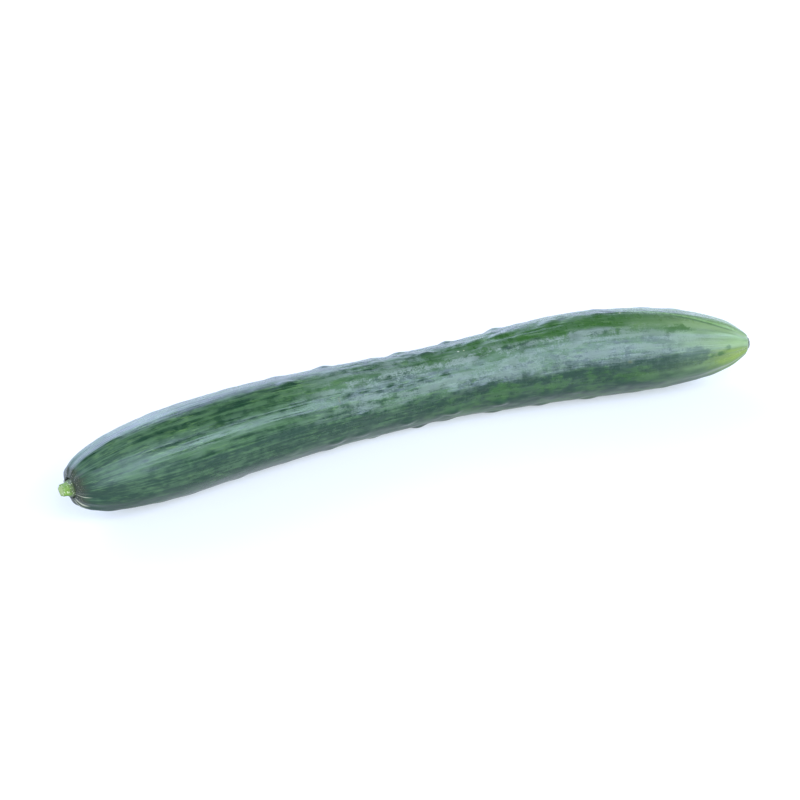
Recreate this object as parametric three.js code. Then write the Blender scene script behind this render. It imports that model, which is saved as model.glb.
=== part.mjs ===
// A long salad cucumber lying on its side, with the stub of its cut stalk.
//
// Millimetres, +Z up. The chord of the fruit runs along +X, from the stalk end to the blossom end, and
// its middle bows towards +Y. The origin is under the middle of the part, on the surface it lies on.

import * as THREE from "three";

// --- Driving dimensions -------------------------------------------------------------------------

const FRUIT_LENGTH = 380;

// The fruit's girth: how far along the chord its shoulder, its waist and its belly lie, and the radius
// over the ribs there.
const SHOULDER = { along: 72, radius: 22.6 };
const WAIST = { along: 202, radius: 19.6 };
const BELLY = { along: 290, radius: 23.4 };

// How full its two ends are: 2 rounds an end off as an ellipse does, and more makes it blunter.
const STALK_END_FULLNESS = 2.2;
const BLOSSOM_END_FULLNESS = 2.5;

// The dimple that the stalk grows from, out to its rim, and the scar that the blossom left, in from
// its edge: how far along the chord, and the radius there.
const DIMPLE = [
  [5.2, 0],
  [5.2, 2.8],
  [4.8, 4.5],
  [2.2, 4.7],
  [0.4, 5.2],
  [0.1, 6.6],
];
const SCAR = [
  [378.9, 3.7],
  [379.9, 2.4],
  [379.4, 1.2],
  [379.3, 0],
];

// The middle line bows towards +Y by this much. With a lean of 1 the bow is even, and with less it
// lies nearer the blossom end.
const BOW = 31;
const BOW_LEAN = 0.9;

// The fruit's own weight presses its underside flat by this much, from its shoulder to its belly.
const PRESSED = 0.6;

// Ribs: soft ridges along the fruit with shallow furrows between them, which are deepest where the
// ribs draw together at its two ends.
const RIBS = 10;
const FIRST_RIB_TURN = THREE.MathUtils.degToRad(23);
const FURROW_DEPTH = 0.4;
const FURROW_DEPTH_AT_ENDS = 0.9;
const FURROW_END_REACH = 60;
const FURROW_FADE_RADIUS = 9;

// Warts: low oval lumps at uneven steps along every rib, boldest round the middle of the fruit.
const WART_START = 4;
const WART_STEP = 25;
const WART_LENGTH = 13;
const WART_WIDTH_IN_RIBS = 0.6;
const WART_HEIGHT = 1.1;
const WART_MIDDLE = 205;
const WART_REACH = 75;
const WART_HEIGHT_FAR = 0.25;

// Stalk: its middle line from the floor of the dimple to the cut, measured from the fruit's own end
// as along, aside and up, and the radius at each of those points.
const STALK_LINE = [
  [4.7, 0.3, 0],
  [2, 0.1, -0.1],
  [-1.5, -0.5, -0.2],
  [-5.4, -1.6, 0.4],
];
const STALK_RADII = [3.5, 3.6, 3.4, 3.2];
const STALK_RIBS = 5;
const STALK_RIB_DEPTH = 0.4;

// Fineness of the curves, and of the facets over them.
const MIDDLE_STEPS = 8;
const END_STEPS = 6;
const BODY_STEP = 31;
const FRUIT_COLUMNS = 4 * RIBS;
const FRUIT_ROW = 3.6;
const FRUIT_END_ROW = 1.2;
const FRUIT_END_BAND = 18;
const STALK_COLUMNS = 4 * STALK_RIBS;
const STALK_ROWS = 10;

// --- Skins made of upright sections ---------------------------------------------------------------

function smoothCurve(points) {
  return new THREE.CatmullRomCurve3(points, false, "catmullrom", 0.5);
}

// The point of an upright section: out from its centre by radius, at an angle from the level normal
// of the line that the section stands on towards +Z.
function sectionPoint(centre, tangent, angle, radius) {
  const side = new THREE.Vector3(-tangent.y, tangent.x, 0).normalize();
  const point = centre.clone().addScaledVector(side, radius * Math.cos(angle));
  point.z += radius * Math.sin(angle);
  return point;
}

// A closed skin over rings of points, with a single point before the first ring and after the last.
function skinOver(start, rings, end) {
  const columns = rings[0].length;
  const points = [start, ...rings.flat(), end];
  const lastRing = points.length - 1 - columns;
  const faces = [];
  for (let column = 0; column < columns; column++) {
    const next = (column + 1) % columns;
    faces.push(0, 1 + next, 1 + column);
    for (let near = 1; near < lastRing; near += columns) {
      const far = near + columns;
      faces.push(near + column, near + next, far + next);
      faces.push(near + column, far + next, far + column);
    }
    faces.push(points.length - 1, lastRing + column, lastRing + next);
  }
  const geometry = new THREE.BufferGeometry().setFromPoints(points);
  geometry.setIndex(faces);
  geometry.computeVertexNormals();
  return geometry;
}

// --- Relief of the fruit ----------------------------------------------------------------------------

// How far the skin sinks between the ribs; turn is the way round the fruit, counted in ribs.
function furrowDepth(along, turn, radius) {
  const fromEnd = Math.min(along, FRUIT_LENGTH - along);
  const drawn = 1 - THREE.MathUtils.smoothstep(fromEnd, 0, FURROW_END_REACH);
  const depth = THREE.MathUtils.lerp(FURROW_DEPTH, FURROW_DEPTH_AT_ENDS, drawn);
  const fade = Math.min(1, radius / FURROW_FADE_RADIUS) ** 2;
  return 0.5 * depth * fade * (1 - Math.cos(2 * Math.PI * turn));
}

// An even scatter between 0 and 1 that never repeats: the fractional parts of the golden ratio's
// multiples.
function scatter(count) {
  const GOLDEN_SHARE = 0.618034;
  return (count * GOLDEN_SHARE) % 1;
}

// How far the skin stands off because of the warts. Every rib is cut into steps, each rib's steps
// begin at a place of their own, and each step holds one wart, which shifts along and across in it.
function wartRise(along, turn) {
  const rib = Math.round(turn) % RIBS;
  const first = scatter(3 * rib);
  const step = Math.floor((along - WART_START) / WART_STEP + first);
  const draw = RIBS * step + rib;
  const centreAlong = WART_START + WART_STEP * (step - first + 0.5 + 0.45 * (scatter(draw) - 0.5));
  const centreAcross = 0.3 * (scatter(5 * draw) - 0.5);
  const offAlong = (along - centreAlong) / (0.5 * WART_LENGTH);
  const offAcross = (turn - Math.round(turn) - centreAcross) / (0.5 * WART_WIDTH_IN_RIBS);
  const dome = Math.max(0, 1 - offAlong ** 2 - offAcross ** 2) ** 2;
  const bold = Math.exp(-(((centreAlong - WART_MIDDLE) / WART_REACH) ** 2));
  const size = 0.3 + 0.7 * scatter(7 * draw);
  return WART_HEIGHT * size * THREE.MathUtils.lerp(WART_HEIGHT_FAR, 1, bold) * dome;
}

// --- Fruit ------------------------------------------------------------------------------------------

// The radius from the shoulder over the waist to the belly, which stays the same beyond them.
function girth(along) {
  const drawn = THREE.MathUtils.smoothstep(along, SHOULDER.along, WAIST.along);
  const swollen = THREE.MathUtils.smoothstep(along, WAIST.along, BELLY.along);
  const toWaist = THREE.MathUtils.lerp(SHOULDER.radius, WAIST.radius, drawn);
  return toWaist + (BELLY.radius - WAIST.radius) * swollen;
}

// A point of the middle line, at a share of the chord from 0 to 1.
function middlePoint(share) {
  const along = share * FRUIT_LENGTH;
  const aside = BOW * Math.sin(Math.PI * (1 - (1 - share) ** BOW_LEAN));
  return new THREE.Vector3(along, aside, girth(along) - PRESSED);
}

// A rounded end, from its tip to its full radius, as points of how far from the tip and the radius.
function roundedEnd(reach, tipRadius, radius, fullness) {
  return Array.from({ length: END_STEPS }, (_, step) => {
    const level = Math.cos((0.5 * Math.PI * (step + 1)) / END_STEPS);
    const full = Math.sqrt(1 - level ** fullness);
    return [reach * (1 - level), THREE.MathUtils.lerp(tipRadius, radius, full)];
  });
}

// The outline, from the floor of the dimple to the scar, as how far along the chord and the radius.
function outlinePoints() {
  const rim = DIMPLE.at(-1)[1];
  const stalkEnd = roundedEnd(SHOULDER.along, rim, SHOULDER.radius, STALK_END_FULLNESS);
  const body = [];
  for (let along = SHOULDER.along + BODY_STEP; along < BELLY.along - 0.5 * BODY_STEP; along += BODY_STEP) {
    body.push([along, girth(along)]);
  }
  const reach = FRUIT_LENGTH - BELLY.along;
  const blossomEnd = roundedEnd(reach, 0, BELLY.radius, BLOSSOM_END_FULLNESS)
    .map(([fromTip, radius]) => [FRUIT_LENGTH - fromTip, radius])
    .reverse();
  return [...DIMPLE, ...stalkEnd, ...body, ...blossomEnd, ...SCAR];
}

function makeFruit() {
  const shares = Array.from({ length: MIDDLE_STEPS + 1 }, (_, step) => step / MIDDLE_STEPS);
  const middle = smoothCurve(shares.map(middlePoint));
  const outline = smoothCurve(outlinePoints().map(([along, radius]) => new THREE.Vector3(along, radius, 0)));
  const outlineLength = outline.getLength();

  function skinPoint(along, radius, column) {
    const share = THREE.MathUtils.clamp(along / FRUIT_LENGTH, 0, 1);
    const centre = middle.getPoint(share).setX(along);
    const angle = (2 * Math.PI * column) / FRUIT_COLUMNS + FIRST_RIB_TURN;
    const turn = (column * RIBS) / FRUIT_COLUMNS;
    const relief = wartRise(along, turn) - furrowDepth(along, turn, radius);
    const point = sectionPoint(centre, middle.getTangent(share), angle, radius + relief);
    point.z = Math.max(point.z, 0);
    return point;
  }

  const rings = [];
  let gone = FRUIT_END_ROW;
  while (gone < outlineLength) {
    const { x: along, y: radius } = outline.getPointAt(gone / outlineLength);
    rings.push(Array.from({ length: FRUIT_COLUMNS }, (_, column) => skinPoint(along, radius, column)));
    const toEnd = Math.min(gone, outlineLength - gone);
    gone += toEnd < FRUIT_END_BAND ? FRUIT_END_ROW : FRUIT_ROW;
  }
  const start = middle.getPoint(0).setX(DIMPLE[0][0]);
  const end = middle.getPoint(1).setX(SCAR.at(-1)[0]);
  const skin = new THREE.MeshStandardMaterial({ color: 0x2f5b38, roughness: 0.35, metalness: 0 });
  const fruit = new THREE.Mesh(skinOver(start, rings, end), skin);
  fruit.name = "fruit";
  return fruit;
}

// --- Stalk ------------------------------------------------------------------------------------------

function makeStalk() {
  const fruitEndHeight = middlePoint(0).z;
  const middle = smoothCurve(STALK_LINE.map((place) => new THREE.Vector3(...place)));
  const radii = smoothCurve(STALK_RADII.map((radius, i) => new THREE.Vector3(i, radius, 0)));

  const rings = [];
  for (let row = 0; row <= STALK_ROWS; row++) {
    const share = row / STALK_ROWS;
    const centre = middle.getPoint(share);
    const tangent = middle.getTangent(share);
    const radius = radii.getPoint(share).y;
    const ring = Array.from({ length: STALK_COLUMNS }, (_, column) => {
      const angle = (2 * Math.PI * column) / STALK_COLUMNS;
      const relief = 0.5 * STALK_RIB_DEPTH * Math.cos(STALK_RIBS * angle);
      return sectionPoint(centre, tangent, angle, radius + relief);
    });
    rings.push(ring);
  }
  const flesh = new THREE.MeshStandardMaterial({ color: 0x8fb552, roughness: 0.6, metalness: 0 });
  const stalk = new THREE.Mesh(skinOver(middle.getPoint(0), rings, middle.getPoint(1)), flesh);
  stalk.name = "stalk";
  stalk.position.z = fruitEndHeight;
  return stalk;
}

// --- The part, with its origin under the middle of it --------------------------------------------------

const group = new THREE.Group();
group.add(makeFruit(), makeStalk());
const reach = new THREE.Box3().setFromObject(group);
const middleOfReach = reach.getCenter(new THREE.Vector3());
group.position.set(-middleOfReach.x, -middleOfReach.y, -reach.min.z);

export default group;
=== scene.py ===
import math

import bpy
import numpy as np
from mathutils import Matrix, Vector


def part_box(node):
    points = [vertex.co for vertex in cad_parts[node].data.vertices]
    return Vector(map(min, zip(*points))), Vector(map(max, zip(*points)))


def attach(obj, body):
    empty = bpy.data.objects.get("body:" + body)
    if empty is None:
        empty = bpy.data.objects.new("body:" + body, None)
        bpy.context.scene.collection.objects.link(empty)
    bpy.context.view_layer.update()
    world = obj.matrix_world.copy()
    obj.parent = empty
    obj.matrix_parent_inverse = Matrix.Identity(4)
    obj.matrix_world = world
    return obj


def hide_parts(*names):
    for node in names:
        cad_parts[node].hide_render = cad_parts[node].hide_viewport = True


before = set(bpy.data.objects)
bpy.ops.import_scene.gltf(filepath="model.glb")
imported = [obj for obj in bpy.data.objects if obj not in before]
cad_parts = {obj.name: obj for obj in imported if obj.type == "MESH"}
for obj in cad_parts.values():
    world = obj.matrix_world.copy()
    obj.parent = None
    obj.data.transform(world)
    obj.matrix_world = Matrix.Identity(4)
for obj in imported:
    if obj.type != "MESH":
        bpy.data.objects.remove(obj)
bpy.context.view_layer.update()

# --- The fruit ------------------------------------------------------------------------------------
# A long salad cucumber, grown as one piece and laid on its side: firm wet flesh in a waxed green skin.
# Its skin is lofted over upright sections along a bowed middle line, and a node tree raises the ribs,
# warts and creases by rule.

MM = 0.001
DEGREE = math.radians(1)

FRUIT_LENGTH = 380 * MM

# Its shoulder, its waist and its belly, in millimetres as all the points and sizes down to PRESSED are:
# how far along the chord, and the radius over the ribs there.
SHOULDER = {"along": 72, "radius": 22.6}
WAIST = {"along": 202, "radius": 19.6}
BELLY = {"along": 290, "radius": 23.4}

# How full its two ends are: 2 rounds an end off as an ellipse does, and more makes it blunter.
STALK_END_FULLNESS = 2.2
BLOSSOM_END_FULLNESS = 2.5

# The dimple that the stalk grows from, out to its rim, and the scar that the blossom left.
DIMPLE = [(5.2, 0), (5.2, 2.8), (4.8, 4.5), (2.2, 4.7), (0.4, 5.2), (0.1, 6.6)]
SCAR = [(378.9, 3.7), (379.9, 2.4), (379.4, 1.2), (379.3, 0)]

# The middle line's bow across the table, leaning towards the blossom end, and how far the fruit's own
# weight presses its underside flat.
BOW = 31
BOW_LEAN = 0.9
PRESSED = 0.6

# Points of its curves: steps along the middle line, steps round each end, and the millimetres between
# the points of the body's outline.
MIDDLE_STEPS = 8
END_STEPS = 6
BODY_STEP = 31

# Its ribs, and the mesh over them: columns round the fruit, and rows along its skin that stand closer
# within a band at both ends.
RIBS = 10
FIRST_RIB_TURN = math.radians(23)
COLUMNS = 18 * RIBS
ROW = 0.95 * MM
END_ROW = 0.45 * MM
END_BAND = 18 * MM

# The grain of the skin is laid out as if the fruit were a rod of this radius.
GRAIN_RADIUS = 21 * MM


def smoothly(value, low, high):
    """Runs smoothly from 0 to 1 while the value runs from low to high."""
    share = min(max((value - low) / (high - low), 0), 1)
    return share * share * (3 - 2 * share)


def girth(along):
    """The radius from the shoulder over the waist to the belly, the same beyond them."""
    drawn = smoothly(along, SHOULDER["along"], WAIST["along"])
    swollen = smoothly(along, WAIST["along"], BELLY["along"])
    to_waist = SHOULDER["radius"] + (WAIST["radius"] - SHOULDER["radius"]) * drawn
    return to_waist + (BELLY["radius"] - WAIST["radius"]) * swollen


def middle_station(share):
    """A point of the middle line, at a share of the chord from 0 to 1."""
    along = share * FRUIT_LENGTH / MM
    aside = BOW * math.sin(math.pi * (1 - (1 - share) ** BOW_LEAN))
    return along * MM, aside * MM, (girth(along) - PRESSED) * MM


def rounded_end(reach, tip_radius, radius, fullness):
    """A rounded end, from its tip to its full radius: how far from the tip, and the radius."""
    points = []
    for step in range(END_STEPS):
        level = math.cos(0.5 * math.pi * (step + 1) / END_STEPS)
        full = math.sqrt(1 - level ** fullness)
        points.append((reach * (1 - level), tip_radius + (radius - tip_radius) * full))
    return points


def outline_stations():
    """From the floor of the dimple to the scar: how far along the chord, and the radius."""
    whole = FRUIT_LENGTH / MM
    rim_radius = DIMPLE[-1][1]
    stalk_end = rounded_end(SHOULDER["along"], rim_radius, SHOULDER["radius"], STALK_END_FULLNESS)
    first = SHOULDER["along"] + BODY_STEP
    stop = BELLY["along"] - BODY_STEP // 2
    body = [(along, girth(along)) for along in range(first, stop, BODY_STEP)]
    blossom_end = rounded_end(whole - BELLY["along"], 0, BELLY["radius"], BLOSSOM_END_FULLNESS)
    blossom_end = [(whole - from_tip, radius) for from_tip, radius in reversed(blossom_end)]
    return [*DIMPLE, *stalk_end, *body, *blossom_end, *SCAR]


def smooth_curve(stations, shares):
    """Points of the smooth curve through the stations, at shares of it from 0 to 1."""
    stations = np.array(stations, float)
    last = len(stations) - 1
    before = 2 * stations[0] - stations[1]
    after = 2 * stations[-1] - stations[-2]
    padded = np.vstack([before, stations, after])
    place = np.clip(shares, 0, 1) * last
    span = np.minimum(np.floor(place).astype(int), last - 1)
    t = (place - span)[:, None]
    a, b, c, d = (padded[span + i] for i in range(4))
    bend = 2 * a - 5 * b + 4 * c - d
    twist = 3 * (b - c) + d - a
    return b + 0.5 * t * ((c - a) + t * (bend + t * twist))


def even_rows(stations, row, end_row, end_band):
    """Points along an outline, a row apart by its own length and an end row apart near both ends."""
    fine_points = 4001
    dense = smooth_curve(stations, np.linspace(0, 1, fine_points)) * MM
    gone = np.concatenate([[0], np.cumsum(np.linalg.norm(np.diff(dense, axis=0), axis=1))])
    stops = [end_row]
    while stops[-1] < gone[-1] - 1.5 * end_row:
        to_end = min(stops[-1], gone[-1] - stops[-1])
        stops.append(stops[-1] + (end_row if to_end < end_band else row))
    points = np.stack([np.interp(stops, gone, dense[:, i]) for i in range(2)], axis=1)
    return points, np.array(stops), gone[-1]


def outward(tangents, angles):
    """Unit vectors out from each point of a middle line at these angles, from level towards up."""
    level = np.stack([-tangents[:, 1], tangents[:, 0], 0 * tangents[:, 0]], axis=1)
    level /= np.linalg.norm(level, axis=1)[:, None]
    up = np.array([0, 0, 1.0])
    return level[:, None] * np.cos(angles)[None, :, None] + up * np.sin(angles)[None, :, None]


def skin_over(name, start, rings, end):
    """A closed mesh over rings of points, with a point before the first ring and after the last."""
    rows, columns = rings.shape[:2]
    points = np.concatenate([[start], rings.reshape(-1, 3), [end]])
    column = np.arange(columns)
    after = (column + 1) % columns
    near = 1 + columns * np.arange(rows - 1)[:, None]
    far = near + columns
    quads = np.stack([near + column, near + after, far + after, far + column], axis=-1)
    last = 1 + columns * (rows - 1)
    fan_start = np.stack([0 * column, 1 + after, 1 + column], axis=1)
    fan_end = np.stack([0 * column + last + columns, last + column, last + after], axis=1)
    faces = [*quads.reshape(-1, 4).tolist(), *fan_start.tolist(), *fan_end.tolist()]
    mesh = bpy.data.meshes.new(name)
    mesh.from_pydata(points.tolist(), [], faces)
    mesh.update()
    return mesh


def keep_on_points(mesh, name, values):
    """Stores a number or a vector for every point of a mesh, for its node trees to read."""
    values = np.asarray(values, np.float32)
    vectors = values.ndim == 2
    attribute = mesh.attributes.new(name, "FLOAT_VECTOR" if vectors else "FLOAT", "POINT")
    attribute.data.foreach_set("vector" if vectors else "value", values.ravel())


def fruit_form():
    """The plain fruit with no relief yet. Its points know where on the fruit they lie."""
    outline, gone, whole = even_rows(outline_stations(), ROW, END_ROW, END_BAND)
    along, radius = outline[:, 0], outline[:, 1]
    stations = [middle_station(share) for share in np.linspace(0, 1, MIDDLE_STEPS + 1)]
    shares = np.clip(along / FRUIT_LENGTH, 0, 1)
    middle = smooth_curve(stations, shares)
    middle[:, 0] = along
    nudge = 1e-4
    tangents = smooth_curve(stations, shares + nudge) - smooth_curve(stations, shares - nudge)
    angles = FIRST_RIB_TURN + 2 * np.pi * np.arange(COLUMNS) / COLUMNS
    out = outward(tangents, angles)
    rings = middle[:, None] + radius[:, None, None] * out
    start = [DIMPLE[0][0] * MM, *stations[0][1:]]
    end = [SCAR[-1][0] * MM, *stations[-1][1:]]
    mesh = skin_over("fruit", start, rings, end)

    def on_points(ringwise, at_start, at_end):
        spread = np.broadcast_to(ringwise, rings.shape[:2]).ravel()
        return np.concatenate([[at_start], spread, [at_end]])

    from_stalk = on_points(gone[:, None], 0, whole)
    keep_on_points(mesh, "along", on_points(along[:, None], along[0], along[-1]))
    keep_on_points(mesh, "radius", on_points(radius[:, None], 0, 0))
    keep_on_points(mesh, "from_stalk", from_stalk)
    keep_on_points(mesh, "to_tip", on_points(whole - gone[:, None], whole, 0))
    keep_on_points(mesh, "turn", on_points(np.arange(COLUMNS) * RIBS / COLUMNS, 0, 0))
    keep_on_points(mesh, "out", np.concatenate([[[0, 0, 0]], out.reshape(-1, 3), [[0, 0, 0]]]))
    # A place on the skin that closes round the fruit: grain can be stretched along it with no seam.
    aside = on_points(GRAIN_RADIUS * np.cos(angles), 0, 0)
    up = on_points(GRAIN_RADIUS * np.sin(angles), 0, 0)
    keep_on_points(mesh, "skin_place", np.stack([aside, up, from_stalk], axis=1))
    return mesh


class Field:
    """A value that varies over a surface: math nodes that can be written like plain numbers."""

    def __init__(self, tree, socket):
        self.tree = tree
        self.socket = socket

    def calc(self, operation, *others):
        """The result of a math node that is fed with this field and the others."""
        node = self.tree.nodes.new("ShaderNodeMath")
        node.operation = operation
        for entry, value in zip(node.inputs, (self, *others)):
            plug(self.tree, entry, value)
        return Field(self.tree, node.outputs[0])

    def __add__(self, other):
        return self.calc("ADD", other)

    def __sub__(self, other):
        return self.calc("SUBTRACT", other)

    def __mul__(self, other):
        return self.calc("MULTIPLY", other)

    def __truediv__(self, other):
        return self.calc("DIVIDE", other)

    def __neg__(self):
        return self * -1

    def square(self):
        return self * self

    def less_from(self, number):
        """A number less this field."""
        return -self + number

    def ramp(self, low, high, at_low=0.0, at_high=1.0):
        """Runs smoothly from at_low to at_high while this field runs from low to high."""
        node = self.tree.nodes.new("ShaderNodeMapRange")
        node.interpolation_type = "SMOOTHSTEP"
        for entry, value in zip(node.inputs, (self, low, high, at_low, at_high)):
            plug(self.tree, entry, value)
        return Field(self.tree, node.outputs[0])

    def fall(self, low, high):
        """Runs smoothly from 1 to 0 while this field runs from low to high."""
        return self.ramp(low, high, 1.0, 0.0)

    def band(self, rise, fall, unit):
        """Rises from 0 to 1 over one stretch and falls back over a later one, both in this unit."""
        return self.ramp(rise[0] * unit, rise[1] * unit) * self.fall(fall[0] * unit, fall[1] * unit)


def plug(tree, entry, value):
    """Feeds a node's input with a field, another node's output or a constant."""
    if isinstance(value, Field):
        value = value.socket
    if isinstance(value, bpy.types.NodeSocket):
        tree.links.new(value, entry)
    else:
        entry.default_value = value


def grain(tree, place, across, along, detail=2.0, shift=0.0):
    """Noise about 0.5 with grains of this size across and along the piece."""
    scaled = tree.nodes.new("ShaderNodeVectorMath")
    scaled.operation = "MULTIPLY_ADD"
    plug(tree, scaled.inputs[0], place)
    plug(tree, scaled.inputs[1], (1 / across, 1 / across, 1 / along))
    plug(tree, scaled.inputs[2], (shift, 2 * shift, 3 * shift))
    noise = tree.nodes.new("ShaderNodeTexNoise")
    plug(tree, noise.inputs["Vector"], scaled.outputs[0])
    plug(tree, noise.inputs["Scale"], 1.0)
    plug(tree, noise.inputs["Detail"], detail)
    return Field(tree, noise.outputs[0])


def round_the_fruit(tree, place):
    """The angle of a place on the skin, from straight up towards the front, and its height, -1 to 1."""
    split = tree.nodes.new("ShaderNodeSeparateXYZ")
    plug(tree, split.inputs[0], place)
    aside, height = (Field(tree, split.outputs[i]) / GRAIN_RADIUS for i in range(2))
    return (-aside).calc("ARCTAN2", height), height


def relief_tree():
    """Ribs, warts, creases round the stalk and slow swells, raised from the skin by rule."""
    tree = bpy.data.node_groups.new("Ribs and warts", "GeometryNodeTree")
    tree.interface.new_socket("Geometry", in_out="INPUT", socket_type="NodeSocketGeometry")
    settings = {
        "Furrow depth": 0.15 * MM,
        "Furrow depth at ends": 0.9 * MM,
        "Furrow reach at stalk": 30 * MM,
        "Furrow reach at tip": 60 * MM,
        "Furrow fade radius": 9 * MM,
        "Wart start": 4 * MM,
        "Wart step": 25 * MM,
        "Wart shift in steps": 0.45,
        "Wart shift in ribs": 0.3,
        "Wart length": 13 * MM,
        "Wart width in ribs": 0.6,
        "Wart height": 1.4 * MM,
        "Wart height at least": 0.3,
        "Wart middle": 205 * MM,
        "Wart reach": 75 * MM,
        "Wart height far": 0.25,
        "Swell height": 0.7 * MM,
        "Shoulder height": 1.0 * MM,
        "Ridge height": 0.45 * MM,
        "Dent height": 0.35 * MM,
        "Dent height in middle": 1.4 * MM,
        "Crease height": 1.0 * MM,
        "Cork height": 0.5 * MM,
    }
    for name in settings:
        tree.interface.new_socket(name, in_out="INPUT", socket_type="NodeSocketFloat")
    tree.interface.new_socket("Skin", in_out="INPUT", socket_type="NodeSocketMaterial")
    tree.interface.new_socket("Geometry", in_out="OUTPUT", socket_type="NodeSocketGeometry")
    given = tree.nodes.new("NodeGroupInput").outputs
    size = {name: Field(tree, given[name]) for name in settings}

    def stored(name, kind="FLOAT"):
        node = tree.nodes.new("GeometryNodeInputNamedAttribute")
        node.data_type = kind
        node.inputs["Name"].default_value = name
        return node.outputs["Attribute"]

    def scatter(count):
        """An even scatter from 0 to 1 that never repeats: fractions of the golden ratio's multiples."""
        golden_share = 0.618034
        return (count * golden_share).calc("FRACT")

    along, turn, radius, from_stalk = (
        Field(tree, stored(name)) for name in ("along", "turn", "radius", "from_stalk")
    )
    place = stored("skin_place", "FLOAT_VECTOR")
    around = round_the_fruit(tree, place)[0]

    # Furrows between the ribs, deepest at both ends.
    at_stalk = along.fall(0.0, size["Furrow reach at stalk"])
    at_tip = along.less_from(FRUIT_LENGTH).fall(0.0, size["Furrow reach at tip"])
    deeper = size["Furrow depth at ends"] - size["Furrow depth"]
    depth = at_stalk.calc("MAXIMUM", at_tip) * deeper + size["Furrow depth"]
    fade = (radius / size["Furrow fade radius"]).calc("MINIMUM", 1.0).square()
    sunk = (turn * (2 * math.pi)).calc("COSINE").less_from(1) * 0.5
    furrow = depth * fade * sunk

    # Warts: one in every step of every rib, shifted along and across by the scatter.
    nearest = turn.calc("ROUND")
    rib = nearest.calc("FLOORED_MODULO", float(RIBS))
    first = scatter(rib * 3)
    step = ((along - size["Wart start"]) / size["Wart step"] + first).calc("FLOOR")
    draw = step * RIBS + rib
    share_of_step = step - first + (scatter(draw) - 0.5) * size["Wart shift in steps"] + 0.5
    centre = share_of_step * size["Wart step"] + size["Wart start"]
    off_along = (along - centre) / size["Wart length"] * 2
    off_across = turn - nearest - (scatter(draw * 5) - 0.5) * size["Wart shift in ribs"]
    off_across = off_across / size["Wart width in ribs"] * 2
    dome = (off_along.square() + off_across.square()).less_from(1).calc("MAXIMUM", 0.0).square()
    bold = (-((centre - size["Wart middle"]) / size["Wart reach"]).square()).calc("EXPONENT")
    far = size["Wart height far"]
    bold = bold * far.less_from(1) + far
    least = size["Wart height at least"]
    wart = dome * bold * (scatter(draw * 7) * least.less_from(1) + least)

    # Creases and cork round the stalk.
    crease = grain(tree, place, 3.5 * MM, 90 * MM, 2.0) - 0.5
    crease = crease * from_stalk.band((4, 8), (10, 22), MM)
    cork = grain(tree, place, 1.5 * MM, 1.5 * MM, 3.0, 6.1) - 0.5
    cork = cork * from_stalk.band((7, 9), (11, 15), MM)

    # The slow swells and small dents of a grown thing, the dents boldest over the middle third but
    # weaker low on its front.
    swell = (grain(tree, place, 19 * MM, 38 * MM, 1.0) - 0.5) * fade
    dent = (grain(tree, place, 5 * MM, 8 * MM, 2.0, 4.4) - 0.5) * fade
    in_middle = along.band((120, 175), (235, 330), MM)
    weaker = around.ramp(60 * DEGREE, 95 * DEGREE, 1.0, 0.25)
    bolder = size["Dent height in middle"] - size["Dent height"]
    dent_height = in_middle * weaker * bolder + size["Dent height"]

    # A soft shoulder along the middle third, just in front of its top, and a ridge along the front from
    # the stalk's end to the waist. Both wander with the swells.
    wander = around + swell * 0.3
    shoulder = (wander - 28 * DEGREE).calc("ABSOLUTE").fall(0.0, 20 * DEGREE) * in_middle
    ridge = (wander - 57 * DEGREE).calc("ABSOLUTE").fall(0.0, 14 * DEGREE)
    ridge = ridge * along.band((10, 45), (195, 240), MM)

    lift = wart * size["Wart height"] - furrow + swell * size["Swell height"] + dent * dent_height
    lift = lift + shoulder * size["Shoulder height"] + ridge * size["Ridge height"]
    lift = lift + crease * size["Crease height"] + cork * size["Cork height"]
    move = tree.nodes.new("ShaderNodeVectorMath")
    move.operation = "SCALE"
    plug(tree, move.inputs[0], stored("out", "FLOAT_VECTOR"))
    plug(tree, move.inputs["Scale"], lift)
    raised = tree.nodes.new("GeometryNodeSetPosition")
    plug(tree, raised.inputs["Geometry"], given["Geometry"])
    plug(tree, raised.inputs["Offset"], move.outputs[0])

    # The fruit's own weight presses its underside flat on the table.
    above = tree.nodes.new("ShaderNodeVectorMath")
    above.operation = "MAXIMUM"
    plug(tree, above.inputs[0], tree.nodes.new("GeometryNodeInputPosition").outputs[0])
    plug(tree, above.inputs[1], (-1, -1, 0))
    last = tree.nodes.new("GeometryNodeSetPosition")
    plug(tree, last.inputs["Geometry"], raised.outputs[0])
    plug(tree, last.inputs["Position"], above.outputs[0])

    # What the colours of the skin need to know of the relief.
    for name, field in (("wart", wart), ("furrow", sunk)):
        keep = tree.nodes.new("GeometryNodeStoreNamedAttribute")
        keep.inputs["Name"].default_value = name
        plug(tree, keep.inputs["Geometry"], last.outputs[0])
        plug(tree, keep.inputs["Value"], field)
        last = keep

    for kind in ("GeometryNodeSetShadeSmooth", "GeometryNodeRealizeInstances", "GeometryNodeSetMaterial"):
        node = tree.nodes.new(kind)
        plug(tree, node.inputs["Geometry"], last.outputs[0])
        last = node
    plug(tree, last.inputs["Material"], given["Skin"])
    plug(tree, tree.nodes.new("NodeGroupOutput").inputs[0], last.outputs[0])
    return tree, settings


def new_material(name):
    """A material with its node tree and its shader."""
    material = bpy.data.materials.new(name)
    material.use_nodes = True
    tree = material.node_tree
    return material, tree, tree.nodes["Principled BSDF"]


def known(tree, name):
    """A value that the points of the mesh know, read in a material."""
    node = tree.nodes.new("ShaderNodeAttribute")
    node.attribute_name = name
    return Field(tree, node.outputs["Fac"])


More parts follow.
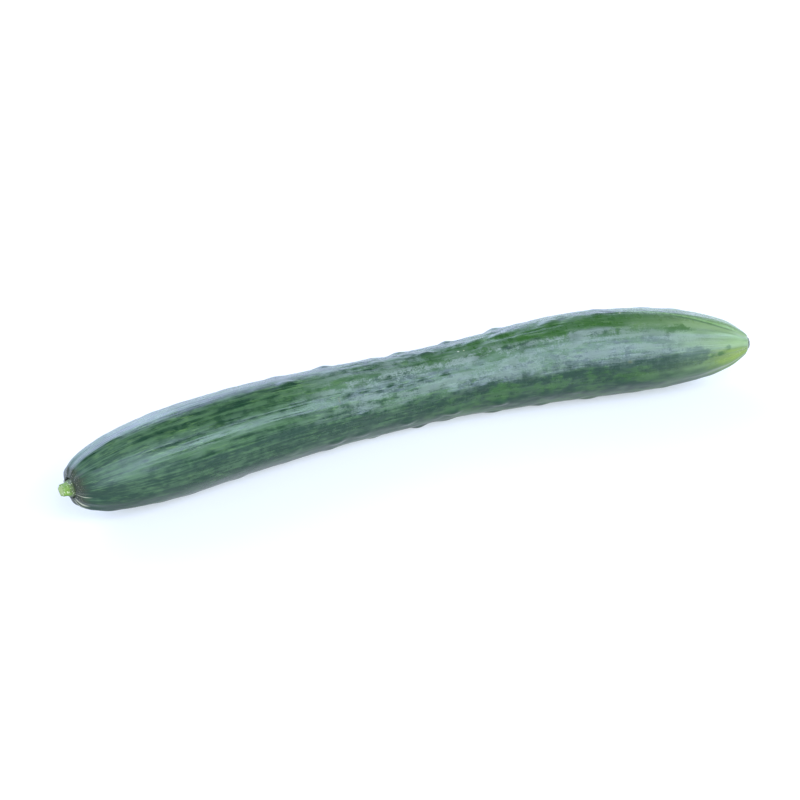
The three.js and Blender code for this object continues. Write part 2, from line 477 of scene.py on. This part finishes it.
def tint(tree, share, colour, other):
    """Colour where share is 0, the other colour where it is 1."""
    node = tree.nodes.new("ShaderNodeMix")
    node.data_type = "RGBA"
    plug(tree, node.inputs["Factor"], share)
    for entry, value in zip((node.inputs["A"], node.inputs["B"]), (colour, other)):
        plug(tree, entry, value)
    return node.outputs["Result"]


def roughen(tree, shader, depth, height):
    """Lets a surface catch the light as if it were raised by this share of a depth."""
    bump = tree.nodes.new("ShaderNodeBump")
    plug(tree, bump.inputs["Distance"], depth)
    plug(tree, bump.inputs["Height"], height)
    plug(tree, shader.inputs["Normal"], bump.outputs[0])


def skin_material():
    """Waxed green skin: fine streaks along the fruit, paling to yellow-green at the blossom end."""
    material, tree, shader = new_material("cucumber skin")
    where = tree.nodes.new("ShaderNodeAttribute")
    where.attribute_name = "skin_place"
    place = where.outputs["Vector"]
    around, up = round_the_fruit(tree, place)
    along, radius, wart, furrow, from_stalk, to_tip = (
        known(tree, name) for name in ("along", "radius", "wart", "furrow", "from_stalk", "to_tip")
    )

    deep = (0.006, 0.030, 0.010, 1)
    green = (0.040, 0.094, 0.034, 1)
    moss = (0.021, 0.076, 0.007, 1)
    light = (0.09, 0.18, 0.05, 1)
    frost_and_highlight = (0.130, 0.180, 0.140, 1)
    mint = (0.140, 0.225, 0.105, 1)
    pale = (0.26, 0.40, 0.20, 1)
    lime = (0.150, 0.225, 0.026, 1)
    scratched = (0.16, 0.29, 0.10, 1)
    bruised = (0.020, 0.048, 0.030, 1)
    scabby = (0.08, 0.09, 0.025, 1)
    olive = (0.036, 0.048, 0.024, 1)
    brown = (0.032, 0.030, 0.010, 1)
    tan = (0.20, 0.17, 0.07, 1)
    cork = (0.45, 0.46, 0.32, 1)
    bluish_gloss = (0.74, 0.87, 1, 1)

    broad = grain(tree, place, 8 * MM, 60 * MM, 3.0, 3.1)
    fine = grain(tree, place, 1.2 * MM, 30 * MM, 4.0, 7.7)
    patch = grain(tree, place, 11 * MM, 24 * MM, 4.0, 15.0)
    mottle = grain(tree, place, 3 * MM, 5 * MM, 4.0, 18.0)
    streak = grain(tree, place, 1.4 * MM, 45 * MM, 3.0, 41.0)

    # Streaks and patches of two greens, darker low on the front as painted shade, and lighter in a lane
    # below the top.
    depth = broad * 0.18 + fine * 0.26 + streak * 0.16 + patch * 0.18 + mottle * 0.22
    shaded_low_front = around.ramp(58 * DEGREE, 88 * DEGREE)
    lane = around.band((12, 20), (36, 46), DEGREE) * along.ramp(60 * MM, 110 * MM)
    colour = tint(tree, (depth - shaded_low_front * 0.04 + lane * 0.03).ramp(0.44, 0.57), deep, green)

    # Moss-green patches on the blossom half, thickest along its brow and thin towards the tip.
    brow = around.band((-6, 6), (20, 34), DEGREE)
    mossy = (patch * 0.6 + mottle * 0.4 + brow * 0.16).ramp(0.44, 0.60)
    mossy = mossy * along.ramp(150 * MM, 250 * MM) * along.ramp(318 * MM, 345 * MM, 1.0, 0.2)
    colour = tint(tree, mossy * 0.85, colour, moss)

    # Short light dashes, which lie in drifts and fade low on the front under the painted shade.
    dashes = grain(tree, place, 0.8 * MM, 6 * MM, 3.0, 12.3).ramp(0.54, 0.68)
    drifts = grain(tree, place, 12 * MM, 40 * MM, 1.0, 5.5).ramp(0.38, 0.55)
    colour = tint(tree, dashes * drifts * (shaded_low_front * -0.3 + 0.55), colour, light)

    # A frosted bloom of wax lies on all but the stalk's third, rubbed thin in strokes across the fruit.
    frosted = along.ramp(105 * MM, 165 * MM)
    film = grain(tree, place, 7 * MM, 2.2 * MM, 3.0, 9.1)
    pores = grain(tree, place, 0.6 * MM, 0.9 * MM, 1.0, 2.2)
    smear = grain(tree, place, 4 * MM, 22 * MM, 3.0, 51.0)
    bloom = (smear * 0.45 + film * 0.15 + mottle * 0.2 + pores * 0.2).ramp(0.44, 0.57)

    # Over the front the bloom is laid on thick as a painted highlight, from a ragged edge that lies
    # higher before the waist and at the tip. Before the waist a line of painted highlight also runs along
    # the top.
    # A crest under that edge has the most of it, and the groove below the crest has none: a painted
    # shade.
    before_waist = along.band((85, 125), (188, 212), MM)
    at_tip = along.ramp(336 * MM, 354 * MM)
    ragged_edge = around + (patch - 0.5) * 0.7 + before_waist * 0.22 + at_tip * 0.17
    thick_bloom_and_highlight = ragged_edge.ramp(19 * DEGREE, 31 * DEGREE) * around.fall(66 * DEGREE, 88 * DEGREE)
    top_line_highlight = around.band((-8, 0), (8, 16), DEGREE)
    thick_bloom_and_highlight = thick_bloom_and_highlight.calc("MAXIMUM", top_line_highlight * before_waist * 1.4)
    crest_highlight = around.band((24, 30), (35, 43), DEGREE) * along.band((110, 130), (290, 315), MM)
    thick_bloom_and_highlight = thick_bloom_and_highlight + crest_highlight * 0.9
    # The groove keeps the painted highlight off, which leaves a dark line of painted shade.
    groove_shade = around.band((42, 46), (49, 53), DEGREE) * along.band((90, 120), (215, 250), MM)
    thick_bloom_and_highlight = thick_bloom_and_highlight * groove_shade.less_from(1)
    # Thin bloom lies on everything past the stalk's third, and the painted highlight is laid over the
    # front.
    colour = tint(tree, bloom * (frosted * (thick_bloom_and_highlight * 0.58 + 0.05) + 0.03), colour, frost_and_highlight)

    # The blossom end: the skin pales in stripes that draw together, most of all over the front of the
    # tip, and yellows on its underside.
    paling = (along + (patch - 0.5) * (60 * MM) + up * (14 * MM)).ramp(310 * MM, 387 * MM)
    stripe = grain(tree, place, 3.5 * MM, 160 * MM, 3.0, 21.0).ramp(0.40, 0.62)
    colour = tint(tree, paling * (stripe * 0.42 + 0.56), colour, mint)
    near_tip = to_tip.ramp(8 * MM, 32 * MM, 0.45, 0.0)
    colour = tint(tree, near_tip * around.band((11, 22), (62, 74), DEGREE), colour, pale)
    lowness = (up + (fine - 0.5)).ramp(0.05, 0.45, 1.0, 0.08)
    yellowing = (along + (mottle - 0.5) * (20 * MM)).ramp(350 * MM, 371 * MM) * lowness
    yellowing = yellowing * around.ramp(98 * DEGREE, 118 * DEGREE, 1.0, 0.5)
    colour = tint(tree, yellowing * 0.92, colour, lime)

    # Warts are darker than the skin round them, partly their own deeper green and partly painted shade,
    # and the blossom end's furrows a little lighter.
    colour = tint(tree, wart * 0.8, colour, deep)
    colour = tint(tree, furrow * paling * 0.25, colour, lime)

    # A pale scratch slants forwards over the top of the blossom end, with a dark line of painted shade
    # in front of it.
    scratch_round = along.ramp(308 * MM, 372 * MM, -5 * DEGREE, 17 * DEGREE)
    off_scratch = (around - scratch_round) * radius
    scratch = off_scratch.calc("ABSOLUTE").fall(0.15 * MM, 0.6 * MM)
    scratch = scratch * along.band((312, 326), (368, 375), MM)
    colour = tint(tree, scratch * 0.75, colour, scratched)
    shade = (off_scratch - 1.2 * MM).calc("ABSOLUTE").fall(0.2 * MM, 0.8 * MM)
    shade = shade * along.band((335, 345), (366, 374), MM)
    colour = tint(tree, shade * 0.7, colour, green)

    def blemish(at, degrees_round, long, wide):
        """A ragged oval mark: millimetres along, degrees round from the top, and its size."""
        off_along = (along - at * MM) / (0.5 * long * MM)
        off_round = (around - degrees_round * DEGREE) * radius / (0.5 * wide * MM)
        ragged = (mottle - 0.5) * 4 + (pores - 0.5) * 2
        return (off_along.square() + off_round.square() + ragged).fall(0.1, 1.5)

    rubbed = (
        blemish(357, 83, 3, 3),
        blemish(362, 80, 5, 3),
        blemish(366, 69, 3.5, 2.5),
        blemish(338, 33, 16, 5),
        blemish(251, 51, 6, 4),
        blemish(275, 53, 7, 4),
    )
    bruises = (blemish(347, 78, 20, 10),)
    scabs = (blemish(143, 52, 1.2, 3.5), blemish(310, 77, 3, 2))
    specks = (blemish(218, 16, 1.3, 0.8), blemish(221, 16, 1, 0.8), blemish(310, 0, 1.5, 0.9))
    for marks, strength, stain in (
        (rubbed, 0.75, moss),
        (bruises, 0.6, bruised),
        (scabs, 0.6, scabby),
        (specks, 0.8, cork),
    ):
        for mark in marks:
            colour = tint(tree, mark * strength, colour, stain)

    # The collar round the stalk: a dark corky ring whose ragged edge breaks up in pale rays on its
    # lower half, with pale crumbs of cork on it.
    ray = grain(tree, place, 2.6 * MM, 200 * MM, 2.0, 31.0)
    grit = grain(tree, place, 0.8 * MM, 0.8 * MM, 2.0, 27.0)
    ragged_reach = from_stalk + (ray - 0.5) * (9 * MM) + (grit - 0.5) * (4 * MM)
    collar = ragged_reach.fall(13 * MM, 18.5 * MM)
    colour = tint(tree, collar * 0.9, colour, tint(tree, grit.ramp(0.45, 0.55), olive, brown))
    rays = ray.ramp(0.53, 0.60) * from_stalk.band((9.5, 11.5), (15, 20), MM)
    colour = tint(tree, rays * up.fall(-0.25, 0.2) * 0.9, colour, cork)
    crumbs = grit.ramp(0.64, 0.70) * from_stalk.band((9, 11), (12, 18), MM)
    colour = tint(tree, crumbs * 0.8, colour, cork)

    # The blossom scar: a small tan cup with a brown rim.
    rim = (to_tip + (grit - 0.5) * (2 * MM)).fall(3.8 * MM, 6.2 * MM)
    colour = tint(tree, rim * 0.8, colour, brown)
    colour = tint(tree, to_tip.fall(1.4 * MM, 2.4 * MM), colour, tan)
    plug(tree, shader.inputs["Base Color"], colour)

    # The gloss changes from stroke to stroke, but is calm low on the front. It is duller under the
    # bloom, on the front near the stalk and, by a little, beneath.
    strokes = (film - 0.5) * (frosted * 0.25 + 0.05) + (streak - 0.5) * 0.35 + (smear - 0.5) * 0.3
    on_front = around.ramp(5 * DEGREE, 22 * DEGREE)
    dull = from_stalk.ramp(25 * MM, 80 * MM, 0.25, 0.0) * on_front + frosted * thick_bloom_and_highlight * 0.12
    calm = around.ramp(86 * DEGREE, 106 * DEGREE) * along.ramp(60 * MM, 120 * MM)
    beneath = calm * around.ramp(121 * DEGREE, 133 * DEGREE)
    roughness = (strokes + (mottle - 0.5) * 0.2) * calm.less_from(1) + beneath * 0.07 + dull + 0.28
    plug(tree, shader.inputs["Roughness"], roughness.calc("MAXIMUM", 0.20))
    plug(tree, shader.inputs["Specular Tint"], bluish_gloss)
    plug(tree, shader.inputs["Sheen Weight"], 0.16)
    plug(tree, shader.inputs["Sheen Roughness"], 0.18)
    height = fine + streak * 1.3 + pores * 0.15 + (film * 0.4 + mottle * 0.6) * (frosted * 0.9 + 0.1)
    height = height * around.ramp(80 * DEGREE, 105 * DEGREE, 1.0, 0.15)
    roughen(tree, shader, 0.15 * MM, height)
    return material


def shaped(mesh, tree, settings):
    """An object with the plain mesh that a node tree makes of this mesh with these settings."""
    thing = bpy.data.objects.new(mesh.name, mesh)
    bpy.context.scene.collection.objects.link(thing)
    modifier = thing.modifiers.new("shape", "NODES")
    modifier.node_group = tree
    for item in tree.interface.items_tree:
        if item.in_out == "INPUT" and item.name in settings:
            modifier[item.identifier] = settings[item.name]
    evaluated = thing.evaluated_get(bpy.context.evaluated_depsgraph_get())
    finished = bpy.data.meshes.new_from_object(evaluated)
    thing.modifiers.remove(modifier)
    thing.data = finished
    return thing


relief, relief_settings = relief_tree()
fruit = shaped(fruit_form(), relief, {**relief_settings, "Skin": skin_material()})
fruit.name = "cucumber_fruit"

# The frame's origin is under the middle of the part, and the loft's is at the fruit's stalk end.
low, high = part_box("fruit")
ends = [vertex.co.x for vertex in fruit.data.vertices]
sides = [vertex.co.y for vertex in fruit.data.vertices]
shift_along = (low.x + high.x - min(ends) - max(ends)) / 2
shift_aside = (low.y + high.y - min(sides) - max(sides)) / 2
to_frame = Matrix.Translation((shift_along, shift_aside, 0))
fruit.data.transform(to_frame)
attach(fruit, "root")
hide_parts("fruit")

# --- The stalk --------------------------------------------------------------------------------------
# The stub of the stalk that the fruit hung from, cut across with a knife. It is ridged and woody, its
# root sits in the fruit's dimple, and the cut face is paler than its sides.

# Its middle line in millimetres, from the floor of the dimple to the cut, as along, aside and up from
# the fruit's own end, and the radius at each of those points.
STALK_LINE = [
    (4.7, 0.3, 0),
    (2, 0.1, -0.1),
    (-1.5, -0.5, -0.2),
    (-5, -1.4, 0.1),
]
STALK_RADII = [(0, 4.8), (1, 5.2), (2, 3.6), (3, 2.9)]
STALK_RIBS = 5
STALK_RIB_DEPTH = 0.5 * MM
STALK_TWIST = 0.5
STALK_LUMP_HEIGHT = 0.12 * MM
STALK_COLUMNS = 60
STALK_ROWS = 60

# Rings of points across the cut face, as shares of the way out to its edge.
CUT_RINGS = (0.97, 0.9, 0.75, 0.5, 0.25)


def stalk_form():
    """The ribbed stub, whose points know how far they are from its root, and from its middle."""
    fruit_end_height = middle_station(0)[2]
    stations = [(x * MM, y * MM, z * MM + fruit_end_height) for x, y, z in STALK_LINE]
    shares = np.linspace(0, 1, STALK_ROWS)
    middle = smooth_curve(stations, shares)
    nudge = 1e-3
    tangents = smooth_curve(stations, shares + nudge) - smooth_curve(stations, shares - nudge)
    radius = smooth_curve(STALK_RADII, shares)[:, 1] * MM
    angles = 2 * np.pi * np.arange(STALK_COLUMNS) / STALK_COLUMNS
    twisted = angles + STALK_TWIST * shares[:, None]
    ribs = 0.5 * STALK_RIB_DEPTH * np.cos(STALK_RIBS * twisted)
    waves = np.sin(3 * angles + 9 * shares[:, None]) * np.sin(14 * shares[:, None])
    out = outward(tangents, angles)
    sides = middle[:, None] + (radius[:, None] + ribs + STALK_LUMP_HEIGHT * waves)[..., None] * out
    inward = np.array(CUT_RINGS)[:, None, None]
    cut = middle[-1] + (sides[-1] - middle[-1]) * inward
    mesh = skin_over("stalk", middle[0], np.concatenate([sides, cut]), middle[-1])
    from_root = np.concatenate([shares, np.ones(len(CUT_RINGS))])
    from_middle = np.concatenate([np.ones(STALK_ROWS), CUT_RINGS])
    for name, by_ring, first, last in (
        ("from_root", from_root, 0, 1),
        ("from_middle", from_middle, 0, 0),
    ):
        keep_on_points(mesh, name, np.concatenate([[first], np.repeat(by_ring, STALK_COLUMNS), [last]]))
    for polygon in mesh.polygons:
        polygon.use_smooth = True
    return mesh


def stalk_material():
    """Fresh green stalk with pale specks, partly its own fibres and partly painted glints, corky brown at
    its root, with a pale cut.
    """
    material, tree, shader = new_material("cut stalk")
    place = tree.nodes.new("ShaderNodeTexCoord").outputs["Object"]
    from_root, from_middle = (known(tree, name) for name in ("from_root", "from_middle"))
    side = (0.115, 0.220, 0.022, 1)
    face = (0.30, 0.42, 0.10, 1)
    brown = (0.028, 0.042, 0.014, 1)
    pale = (0.60, 0.66, 0.42, 1)
    fibre = grain(tree, place, 0.6 * MM, 0.6 * MM, 3.0)
    flecks_and_glints = grain(tree, place, 0.8 * MM, 0.8 * MM, 4.0, 8.2).ramp(0.58, 0.66)
    root = (from_root + (fibre - 0.5) * 0.5).fall(0.54, 0.78)
    colour = tint(tree, from_middle.fall(0.86, 0.93), side, face)
    colour = tint(tree, root * 0.85, colour, brown)
    # Pale specks: partly the stalk's own pale fibres, partly painted glints.
    colour = tint(tree, flecks_and_glints * 0.6, colour, pale)
    plug(tree, shader.inputs["Base Color"], colour)
    plug(tree, shader.inputs["Roughness"], fibre * 0.3 + 0.35)
    roughen(tree, shader, 0.2 * MM, fibre)
    return material


stalk = bpy.data.objects.new("cucumber_stalk", stalk_form())
bpy.context.scene.collection.objects.link(stalk)
stalk.data.transform(to_frame)
stalk.data.materials.append(stalk_material())
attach(stalk, "root")
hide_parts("stalk")

# --- Table, light and camera --------------------------------------------------------------------------
# A plain pale table in a studio tent of white cloth. A tall soft panel glows in front and a wide one to
# its right, a dimmer one hangs on the left, and a broad one behind stands over a strip of cloth that
# runs low round the back.

TABLE_SIZE = 8
TABLE_GLOW = 0.55

bpy.ops.mesh.primitive_plane_add(size=TABLE_SIZE)
table = bpy.context.object
table.name = "table_top"
table_paint, paint_tree, paint_shader = new_material("table paint")
for socket, value in (
    ("Base Color", (0.35, 0.37, 0.40, 1)),
    ("Emission Color", (0.88, 0.95, 1, 1)),
    ("Emission Strength", TABLE_GLOW),
    ("Roughness", 0.7),
):
    plug(paint_tree, paint_shader.inputs[socket], value)
table.data.materials.append(table_paint)


def heading(azimuth, elevation):
    """Unit vector from the middle of the scene: azimuth in degrees from the front to the right."""
    azimuth, elevation = math.radians(azimuth), math.radians(elevation)
    level = Vector((math.sin(azimuth), -math.cos(azimuth), 0))
    return level * math.cos(elevation) + Vector((0, 0, math.sin(elevation)))


tent = bpy.data.worlds.new("studio tent")
bpy.context.scene.world = tent
tent.use_nodes = True
tent_tree = tent.node_tree
sight = tent_tree.nodes.new("ShaderNodeTexCoord").outputs["Generated"]


def lies_along(axis):
    """How far the direction that is looked at lies along an axis, from -1 to 1."""
    product = tent_tree.nodes.new("ShaderNodeVectorMath")
    product.operation = "DOT_PRODUCT"
    plug(tent_tree, product.inputs[0], sight)
    plug(tent_tree, product.inputs[1], axis)
    return Field(tent_tree, product.outputs["Value"])


def panel(azimuth, elevation, width, height, soft, glow):
    """Glow of an oblong of lit cloth with soft edges. All of its measures but glow are in degrees."""
    centre = heading(azimuth, elevation)
    right = heading(azimuth + 90, 0)
    # The oblong's twin on the far side of the tent stays dark.
    lit = lies_along(centre).ramp(0.0, 0.2)
    for axis, size in ((right, width), (centre.cross(right), height)):
        inner, outer = (math.sin(math.radians(min(size / 2 + side, 90))) for side in (-soft, soft))
        lit = lit * lies_along(axis).calc("ABSOLUTE").fall(inner, outer)
    return lit * glow


tall = panel(azimuth=5, elevation=36, width=20, height=56, soft=9, glow=11.5)
wide = panel(azimuth=42, elevation=35, width=62, height=19, soft=5, glow=9.0)
left = panel(azimuth=-85, elevation=47, width=60, height=22, soft=10, glow=3.0)
broad = panel(azimuth=197, elevation=29, width=64, height=34, soft=7, glow=5.4)
strip = panel(azimuth=150, elevation=-1, width=170, height=28, soft=6, glow=3.3)
in_front = tall.calc("MAXIMUM", wide)
behind = broad.calc("MAXIMUM", strip)

# The cloth is less blue where the panels in front light it, and dim where no panel does. The faintest
# glow keeps the share in front known there.
CLOTH_BEHIND = (0.64, 0.73, 1.0, 1)
CLOTH_IN_FRONT = (0.79, 0.84, 1.0, 1)
DIM_GLOW = 0.35
FAINTEST_GLOW = 0.001
cloth = tent_tree.nodes["Background"]
share_in_front = in_front / (in_front + behind + FAINTEST_GLOW)
cloth_colour = tint(tent_tree, share_in_front, CLOTH_BEHIND, CLOTH_IN_FRONT)
plug(tent_tree, cloth.inputs["Color"], cloth_colour)
plug(tent_tree, cloth.inputs["Strength"], in_front + behind + left + DIM_GLOW)

CAMERA_AZIMUTH = -23.24
CAMERA_ELEVATION = 29
CAMERA_DISTANCE = 1.15
CAMERA_LENS = 99
CAMERA_SENSOR = 36
CAMERA_TARGET = Vector((-3.09, 4.85, 18)) * MM
to_camera = heading(CAMERA_AZIMUTH, CAMERA_ELEVATION)
camera = bpy.data.objects.new("camera", bpy.data.cameras.new("camera"))
camera.data.lens = CAMERA_LENS
camera.data.sensor_width = CAMERA_SENSOR
camera.location = CAMERA_TARGET + CAMERA_DISTANCE * to_camera
camera.rotation_euler = (-to_camera).to_track_quat("-Z", "Y").to_euler()
bpy.context.scene.collection.objects.link(camera)
bpy.context.scene.camera = camera
bpy.context.scene.view_settings.view_transform = "Standard"
